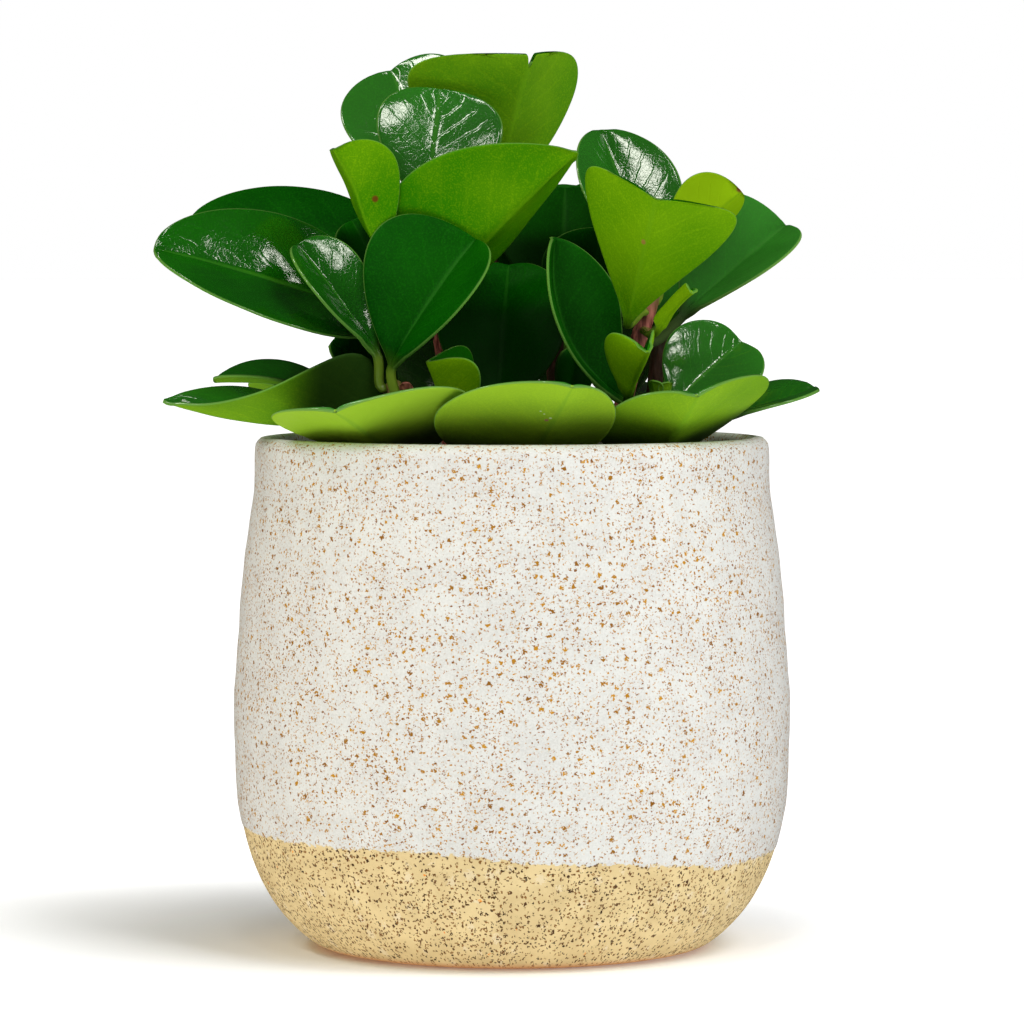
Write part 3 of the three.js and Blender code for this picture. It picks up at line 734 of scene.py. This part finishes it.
def figure_group():
    """The leaf's figure from its own attributes: side veins, their net, midrib, margin and stalk."""
    tree = bpy.data.node_groups.new("leaf_figure", "ShaderNodeTree")
    group_socket(tree, "INPUT", "Vector", "Place")
    for name in ("Veins", "Net", "Midrib", "Margin", "Stalk"):
        group_socket(tree, "OUTPUT", "Float", name)
    where = add(tree, "NodeGroupInput").outputs["Place"]
    s, x = add(tree, "ShaderNodeSeparateXYZ", {0: attribute(tree, "blade", "Vector")}).outputs[:2]
    out = maths(tree, "ABSOLUTE", s)
    lean = maths(tree, "MULTIPLY", maths(tree, "POWER", out, 0.8), 0.42)
    wander = maths(tree, "MULTIPLY", grain(tree, where, 5.0, 2.0), 0.07)
    phase = maths(tree, "MULTIPLY", maths(tree, "ADD", maths(tree, "SUBTRACT", x, lean), wander), 7.0)
    wave = maths(tree, "PINGPONG", phase, 0.5)
    fade = ramp(tree, out, 0.6, 0.95, 1.0, 0.0)
    cells = add(tree, "ShaderNodeTexVoronoi", {"Vector": where, "Scale": 0.7}, feature="DISTANCE_TO_EDGE")
    links = {
        "Veins": maths(tree, "MULTIPLY", ramp(tree, wave, 0.02, 0.12, 1.0, 0.0), fade),
        "Net": ramp(tree, cells.outputs["Distance"], 0.02, 0.14, 1.0, 0.0),
        "Midrib": ramp(tree, out, 0.01, 0.05, 1.0, 0.0),
        "Margin": ramp(tree, attribute(tree, "margin"), 0.1, 0.55, 1.0, 0.0),
        "Stalk": ramp(tree, x, -0.25, 0.12, 1.0, 0.0),
    }
    add(tree, "NodeGroupOutput", links)
    return tree


speckles = speckle_group()
leaf_figure = figure_group()


# Materials


def new_material(name):
    """An empty material, its node tree and its principled shader."""
    material = bpy.data.materials.new(name)
    material.use_nodes = True
    tree = material.node_tree
    return material, tree, tree.nodes["Principled BSDF"]


def dress(tree, shader, base, roughness, height):
    """Feeds a shader's colour, roughness and relief. height is in millimetres."""
    tree.links.new(base, shader.inputs["Base Color"])
    tree.links.new(roughness, shader.inputs["Roughness"])
    links = {"Strength": 1.0, "Distance": MM, "Height": height}
    relief = add(tree, "ShaderNodeBump", links).outputs["Normal"]
    tree.links.new(relief, shader.inputs["Normal"])


def specked(tree, base, where, cell, share, size, dark, pale, strength=1.0):
    """A colour with specks over it, and their mask."""
    links = {"Place": where, "Cell": cell, "Share": share, "Size": size}
    made = add(tree, "ShaderNodeGroup", links, node_tree=speckles).outputs
    mask = maths(tree, "MULTIPLY", made["Mask"], strength)
    return mix(tree, mask, base, blend(tree, made["Tint"], (dark, pale))), mask


def round_the_pot(tree, where):
    """Millimetres round the pot, and up it and on over its rim."""
    x, y, z = add(tree, "ShaderNodeSeparateXYZ", {0: where}).outputs
    turn = maths(tree, "ARCTAN2", x, maths(tree, "MULTIPLY", y, -1.0))
    away = vectors(tree, "LENGTH", {0: vectors(tree, "MULTIPLY", {0: where, 1: (1, 1, 0)})}, "Value")
    on_rim = maths(tree, "GREATER_THAN", z, pot_height - 5)
    over = maths(tree, "MULTIPLY", on_rim, maths(tree, "SUBTRACT", rim_radius, away))
    links = {0: maths(tree, "MULTIPLY", turn, rim_radius), 1: maths(tree, "ADD", z, over)}
    return add(tree, "ShaderNodeCombineXYZ", links).outputs[0], z


def pot_material():
    """Speckled off-white glaze above bare speckled clay, reddened at the foot. The attribute glaze is the
    height above their line."""
    material, tree, shader = new_material("speckled_stoneware")
    where = place(tree)
    flat, z = round_the_pot(tree, where)
    ragged = ramp(tree, grain(tree, where, 2.2, 3.0), 0.2, 0.8, -0.9, 0.9)
    glazed = ramp(tree, maths(tree, "ADD", attribute(tree, "glaze"), ragged), -0.25, 0.25)
    cloud = ramp(tree, grain(tree, where, 9.0, 3.0), 0.3, 0.7)

    mottle = ramp(tree, grain(tree, where, 0.6, 2.0), 0.4, 0.6)
    glaze = cover(tree, blend(tree, cloud, glaze_pair), mottle, 0.36, glaze_mottle)
    glaze, _ = specked(tree, glaze, flat, *glaze_dust)
    glaze, small = specked(tree, glaze, flat, *glaze_specks)
    glaze, blob = specked(tree, glaze, flat, *glaze_blobs)

    clay = blend(tree, cloud, clay_pair)
    for specks in clay_specks:
        clay, _ = specked(tree, clay, flat, *specks)
    clay = mix(tree, ramp(tree, z, 0.4, 3.0, 0.65, 0.0), clay, colour(*clay_blush))

    roughness = ramp(tree, glazed, 0.0, 1.0, 0.9, 0.45)
    pits = ramp(tree, grain(tree, where, 0.9, 2.0), 0.3, 0.7, -pit_depth, pit_depth)
    sunk = maths(tree, "MULTIPLY", maths(tree, "MAXIMUM", small, blob), -speck_depth)
    dress(tree, shader, mix(tree, glazed, clay, glaze), roughness, maths(tree, "ADD", pits, sunk))
    shader.inputs["Specular IOR Level"].default_value = 0.4
    return material


def soil_material():
    """Dark damp peat with brown fibres and a few pale grains."""
    material, tree, shader = new_material("potting_peat")
    where = place(tree)
    base = blend(tree, grain(tree, where, 3.0, 6.0, 0.7), peat_pair)
    base, _ = specked(tree, base, where, *peat_grains)
    roughness = ramp(tree, grain(tree, where, 2.0), 0.2, 0.8, 0.8, 1.0)
    height = ramp(tree, grain(tree, where, 1.6, 5.0, 0.7), 0.2, 0.8, -peat_relief, peat_relief)
    dress(tree, shader, base, roughness, height)
    return material


def stem_material():
    """Fleshy red-brown stem with pink streaks and a green top. The attribute climb is the share of its
    height, and a second attribute is 1 on the stems in the dark of the bush, where painted shade darkens
    them."""
    material, tree, shader = new_material("fleshy_stem")
    where = place(tree)
    streaks = add(tree, "ShaderNodeMapping", {"Vector": where, "Scale": (1.0, 1.0, 0.12)}).outputs[0]
    bark = blend(tree, ramp(tree, grain(tree, streaks, 1.3, 3.0), 0.35, 0.65), bark_pair)
    green = blend(tree, ramp(tree, grain(tree, streaks, 2.0, 2.0), 0.35, 0.65), green_pair)
    base = mix(tree, ramp(tree, attribute(tree, "climb"), 0.85, 1.0), bark, green)
    # Painted shade over the stems in the dark of the bush
    base = cover(tree, base, attribute(tree, "painted_shade"), painted_shade_depth, stem_painted_shade)
    roughness = ramp(tree, grain(tree, where, 1.5), 0.3, 0.7, 0.35, 0.55)
    height = ramp(tree, grain(tree, streaks, 0.9, 3.0), 0.2, 0.8, -streak_relief, streak_relief)
    dress(tree, shader, base, roughness, height)
    return material


def leaf_material(name, deep, pale, rib, roughness, gloss):
    """One side of a fleshy leaf: fine dots, faint veins, a midrib, a thin pale margin and small marks. The
    attribute tone takes it from the deepest colour to the palest, painted shade darkens it where it lies in
    the dark of the bush, and a pale waxy film with a painted sheen greys it."""
    material, tree, shader = new_material(name)
    where = place(tree)
    figure = add(tree, "ShaderNodeGroup", {"Place": where}, node_tree=leaf_figure)
    veins, net, midrib, margin, stalk = figure.outputs[:5]
    dots = ramp(tree, grain(tree, where, 0.5, 2.0), 0.45, 0.7)
    cloud = ramp(tree, grain(tree, where, 22.0, 1.0), 0.3, 0.7, 0.0, 0.16)
    lift = maths(tree, "ADD", cloud, maths(tree, "MULTIPLY", dots, 0.2))
    lift = maths(tree, "ADD", lift, maths(tree, "MULTIPLY", veins, 0.06))
    base = blend(tree, maths(tree, "ADD", attribute(tree, "tone"), lift), (deep, pale))
    base = cover(tree, base, midrib, 0.4, rib)
    base = cover(tree, base, margin, 0.8, margin_colour)
    base = mix(tree, stalk, base, colour(*stalk_colour))
    # Painted shade where the leaf lies in the dark of the bush
    base = cover(tree, base, attribute(tree, "painted_shade"), painted_shade_depth, leaf_painted_shade)
    # Partly a pale waxy film, partly a painted sheen
    base = mix(tree, attribute(tree, "bloom_and_sheen"), base, colour(*bloom_and_sheen_colour))
    for spot, radius, tint in marks:
        away = distance_to(tree, where, spot)
        base = mix(tree, ramp(tree, away, radius * 0.5, radius, 1.0, 0.0), base, colour(*tint))
    uneven = ramp(tree, grain(tree, where, 0.8, 3.0), 0.3, 0.7, roughness - 0.03, roughness + 0.04)
    pebbles = ramp(tree, grain(tree, where, 0.5, 2.0), 0.2, 0.8, -pebble_relief, pebble_relief)
    quilt = ramp(tree, grain(tree, where, 6.0, 1.0), 0.2, 0.8, -quilt_relief, quilt_relief)
    sunk = maths(tree, "MULTIPLY", veins, -vein_depth)
    fine = maths(tree, "MULTIPLY", net, -net_depth)
    height = maths(tree, "ADD", maths(tree, "ADD", pebbles, quilt), maths(tree, "ADD", sunk, fine))
    dress(tree, shader, base, uneven, height)
    shader.inputs["Specular IOR Level"].default_value = gloss
    return material


# The pot, the soil and the stems


def inside_radius(height):
    """The radius of the pot's inner wall."""
    height = min(max(height, inner_lowest), inner_highest)
    for (r0, z0), (r1, z1) in zip(pot_outside, pot_outside[1:]):
        if z1 >= height:
            return r0 + (r1 - r0) * (height - z0) / (z1 - z0) - wall


def profile(*corners):
    """Corners of a turned body, given as radius and height."""
    return [Vector((radius, 0, height)) for radius, height in corners]


def spun(line, turns):
    """A closed body turned from a line of radius and height that starts and ends on the axis."""
    bm = bmesh.new()
    verts = [bm.verts.new((point.x * MM, 0, point.z * MM)) for point in line]
    edges = [bm.edges.new(pair) for pair in zip(verts, verts[1:])]
    bmesh.ops.spin(bm, geom=[*verts, *edges], cent=(0, 0, 0), axis=(0, 0, 1), dvec=(0, 0, 0),
                   angle=math.tau, steps=turns, use_merge=True, use_duplicate=False)
    bmesh.ops.remove_doubles(bm, verts=bm.verts, dist=1e-6)
    return bm


def glaze_line(turn):
    """The height of the glaze's edge in a direction."""
    swell = sum(rise * bump_at((turn - at + 180) % 360 - 180, 0, width) for at, rise, width in glaze_swells)
    return glaze_height + glaze_lean * math.cos(math.radians(turn)) + swell


def make_pot():
    """The thrown pot, with its ridges and the step where the glaze ends."""
    outer = through(profile(*pot_outside), outer_step)
    top = inner_heights[0]
    lip = [outer[-1], *profile(rim_top, rim_inside, (inside_radius(top), top))]
    inner = profile(*[(inside_radius(z), z) for z in inner_heights])
    floor = profile((inside_radius(inner_heights[-1]) - floor_corner, floor_height), (0, floor_height))
    line = [*profile((0, 0), (foot_radius * 0.5, 0)), *outer[:-1], *through(lip, lip_step)[:-1]]
    line += [*through(inner, inner_step), *floor]
    bm = spun(line, pot_turns)
    glaze = bm.verts.layers.float.new("glaze")
    for vert in bm.verts:
        x, y, z = vert.co / MM
        radius = math.hypot(x, y)
        turn = math.degrees(math.atan2(y, x))
        vert[glaze] = z - glaze_line(turn)
        if z > inner_lowest and radius < inside_radius(z) + wall / 2:
            vert[glaze] = all_glazed
        elif radius > foot_radius + 2:
            sway = ridge_sway * math.sin(math.radians(turn) * 2)
            ridge = sum(depth * bump_at(z + sway, at, ridge_width) for at, depth in ridges)
            bare = recess * (1 - smooth_step(vert[glaze], step_start, step_end))
            vert.co.xy *= min(radius + ridge - bare, pot_radius) / radius
        vert.co.z = min(vert.co.z, pot_height * MM)
    finish_piece(bm, "glazed_pot", [pot_material()], "pot", "pot")


def lump_at(x, y):
    """The height of the soil's lumps: the frame's own waves, with finer lumps on them."""
    lump = math.sin(x * 0.37 + 1.3) * math.cos(y * 0.41 - 0.6) + 0.5 * math.sin(x * 0.83 + y * 0.71)
    return lump * lump_height + noise.noise(Vector((x, y, 0)) / fine_lump_size) * fine_lump_height


def make_soil(material):
    """The filling of peat, with a lumpy top."""
    radius = inside_radius(soil_top) - soil_edge_gap
    sides = profile(*[(inside_radius(z) - soil_side_gap, z) for z in soil_heights])
    top = profile(*[(radius * ring / soil_rings, soil_top) for ring in range(soil_rings, -1, -1)])
    bottom = floor_height + soil_floor_gap
    base = profile((0, bottom), (inside_radius(inner_heights[-1]) - soil_corner, bottom))
    bm = spun([*base, *sides, *top], soil_turns)
    for vert in bm.verts:
        if vert.co.z > (soil_top - 0.1) * MM:
            vert.co.z += lump_at(vert.co.x / MM, vert.co.y / MM) * MM
    finish_piece(bm, "soil_bed", [material], "soil", "potting_soil")


def make_crumbs(material):
    """Loose crumbs of peat that lie on the soil."""
    draw = random.Random(crumb_seed)
    bm = bmesh.new()
    for _ in range(crumb_count):
        away = math.sqrt(draw.random()) * (inside_radius(soil_top) - crumb_margin)
        turn = draw.uniform(0, math.tau)
        size = draw.uniform(*crumb_radius)
        x, y = away * math.cos(turn), away * math.sin(turn)
        spin = Matrix.Rotation(draw.uniform(0, math.tau), 4, Vector((draw.random(), draw.random(), 1)))
        stretch = Matrix.Diagonal((draw.uniform(*crumb_length), 1, draw.uniform(*crumb_flatness), 1))
        seat = Matrix.Translation(Vector((x, y, soil_top + lump_at(x, y) + size * crumb_lift)) * MM)
        made = bmesh.ops.create_icosphere(bm, subdivisions=2, radius=size * MM, matrix=seat @ spin @ stretch)
        for vert in made["verts"]:
            bump = noise.noise(vert.co / MM / crumb_bump_size)
            vert.co += Vector((0, 0, 1)) * bump * size * crumb_bumps * MM
    finish_piece(bm, "soil_crumbs", [material], "soil")


def make_stem(name, material):
    """A fleshy stem, a little swollen where each leaf leaves it and rounded at its head."""
    radius = stems[name][2]
    curve = stem_points(name)
    nodes = [leaf.at for leaf in leaves if leaf.stem == name]
    bm = bmesh.new()
    climb = bm.verts.layers.float.new("climb")
    painted_shade = bm.verts.layers.float.new("painted_shade")
    bmesh.ops.create_grid(bm, x_segments=stem_round, y_segments=stem_rows, size=1)
    length = (curve[2] - curve[0]).length
    head = radius * head_length
    for vert in bm.verts:
        turn, t = vert.co.x * math.pi, (vert.co.y + 1) / 2
        middle, tangent = bezier(curve, t)
        side = Vector((0, 1, 0)).cross(tangent).normalized()
        around = side * math.cos(turn) + tangent.cross(side) * math.sin(turn)
        swell = sum(node_swelling * bump_at(t * length, at * length - node_drop, node_length) for at in nodes)
        uneven = 1 + stem_uneven * noise.noise(middle / stem_uneven_size + around)
        close = math.sqrt(1 - max(0, t * length - length + head) ** 2 / head**2 * head_closing)
        out = (radius * (1 - (1 - stem_taper) * t) * uneven + swell) * close
        vert[climb] = t
        # Painted shade on the stems in the dark of the bush
        vert[painted_shade] = name in stems_with_painted_shade
        vert.co = (middle + around * out) * MM
    close_skin(bm)
    finish_piece(bm, name + "_stem", [material], "stem", "stem_" + name)


# The stage


def make_camera():
    """The photograph's view: a long lens level with the plant's leaves, looking slightly down."""
    data = bpy.data.cameras.new("camera")
    data.lens = lens
    data.sensor_width = sensor
    camera = in_scene("camera", data)
    camera.location = camera_place
    camera.rotation_euler = (math.radians(90 - camera_tilt), 0, 0)
    bpy.context.scene.camera = camera


def make_floor():
    """A white floor that runs to the horizon, with a painted glow, seen only by the camera, that keeps it
    white away from the pot.
    """
    material, tree, shader = new_material("white_floor")
    # Painted glow, seen only by the camera, that rises from nothing near the pot to full strength far from it
    painted_glow = ramp(tree, distance_to(tree, place(tree), glow_centre), glow_near, glow_far, 0.0, glow)
    painted_glow = maths(tree, "MULTIPLY", painted_glow, add(tree, "ShaderNodeLightPath").outputs["Is Camera Ray"])
    tree.links.new(painted_glow, shader.inputs["Emission Color"])
    shader.inputs["Base Color"].default_value = floor_colour
    shader.inputs["Emission Strength"].default_value = 1.0
    shader.inputs["Roughness"].default_value = 0.9
    shader.inputs["Specular IOR Level"].default_value = 0.0
    bm = bmesh.new()
    bmesh.ops.create_grid(bm, x_segments=1, y_segments=1, size=floor_reach)
    floor = as_object(bm, "floor", [material])
    floor.visible_glossy = False
    floor.visible_shadow = False


def toward(azimuth, elevation):
    """The way to a light from the plant."""
    a, e = math.radians(azimuth), math.radians(elevation)
    return Vector((math.sin(a) * math.cos(e), -math.cos(a) * math.cos(e), math.sin(e)))


def sun(name, azimuth, elevation, strength, spread, tint=(1, 1, 1)):
    """A distant light that leaves no highlight."""
    data = bpy.data.lights.new(name, "SUN")
    data.energy = strength
    data.color = tint
    data.angle = math.radians(spread)
    light = in_scene(name, data)
    light.rotation_euler = toward(azimuth, elevation).to_track_quat("Z", "Y").to_euler()
    light.visible_glossy = False


def softbox(name, azimuth, elevation, wide, high, brightness):
    """A plain lamp that faces the plant, some degrees wide and high as the plant sees it."""
    width, height = [2 * lamp_distance * math.tan(math.radians(angle / 2)) for angle in (wide, high)]
    data = bpy.data.lights.new(name, "AREA")
    data.shape = "RECTANGLE"
    data.size = width
    data.size_y = height
    data.energy = brightness * math.pi * width * height
    data.color = lamp_tint
    lamp = in_scene(name, data)
    way = toward(azimuth, elevation)
    lamp.location = way * lamp_distance + Vector((0, 0, lamp_aim))
    lamp.rotation_euler = way.to_track_quat("Z", "Y").to_euler()


def make_light():
    """Even white surroundings to the eye, dimmer as light and dimmer still in reflections, then the
    softboxes and the distant lights."""
    world = bpy.data.worlds.new("studio")
    bpy.context.scene.world = world
    world.use_nodes = True
    tree = world.node_tree
    path = add(tree, "ShaderNodeLightPath").outputs
    lit = ramp(tree, path["Is Glossy Ray"], 0.0, 1.0, world_light, world_gloss)
    strength = ramp(tree, path["Is Camera Ray"], 0.0, 1.0, lit, 1.0)
    back = tree.nodes["Background"]
    tree.links.new(mix(tree, path["Is Camera Ray"], world_tint, white), back.inputs["Color"])
    tree.links.new(strength, back.inputs["Strength"])
    for name, setting in softboxes.items():
        softbox(name, *setting)
    for name, setting in suns.items():
        sun(name, *setting)


make_camera()
make_floor()
make_light()
bpy.context.scene.view_settings.view_transform = "Standard"

glossy_side = leaf_material("leaf_upper_side", *glossy_look)
dull_side = leaf_material("leaf_dull_side", *dull_look)
under_side = leaf_material("leaf_under_side", *under_look)
peat = soil_material()
bark = stem_material()

make_pot()
make_soil(peat)
make_crumbs(peat)
for name in stems:
    make_stem(name, bark)
for leaf in leaves:
    slot = "young_leaf" if leaf.young else "leaf"
    sides = [dull_side if leaf.dull else glossy_side, under_side]
    finish_piece(leaf_mesh(leaf), leaf.name + "_blade", sides, slot, "leaf_" + leaf.name)
for shoot in shoots:
    # The first shoot is coloured like its stem
    sides = [bark] if shoot is shoots[0] else [glossy_side, under_side]
    finish_piece(leaf_mesh(shoot, fused=True), shoot.name, sides, "young_leaf")
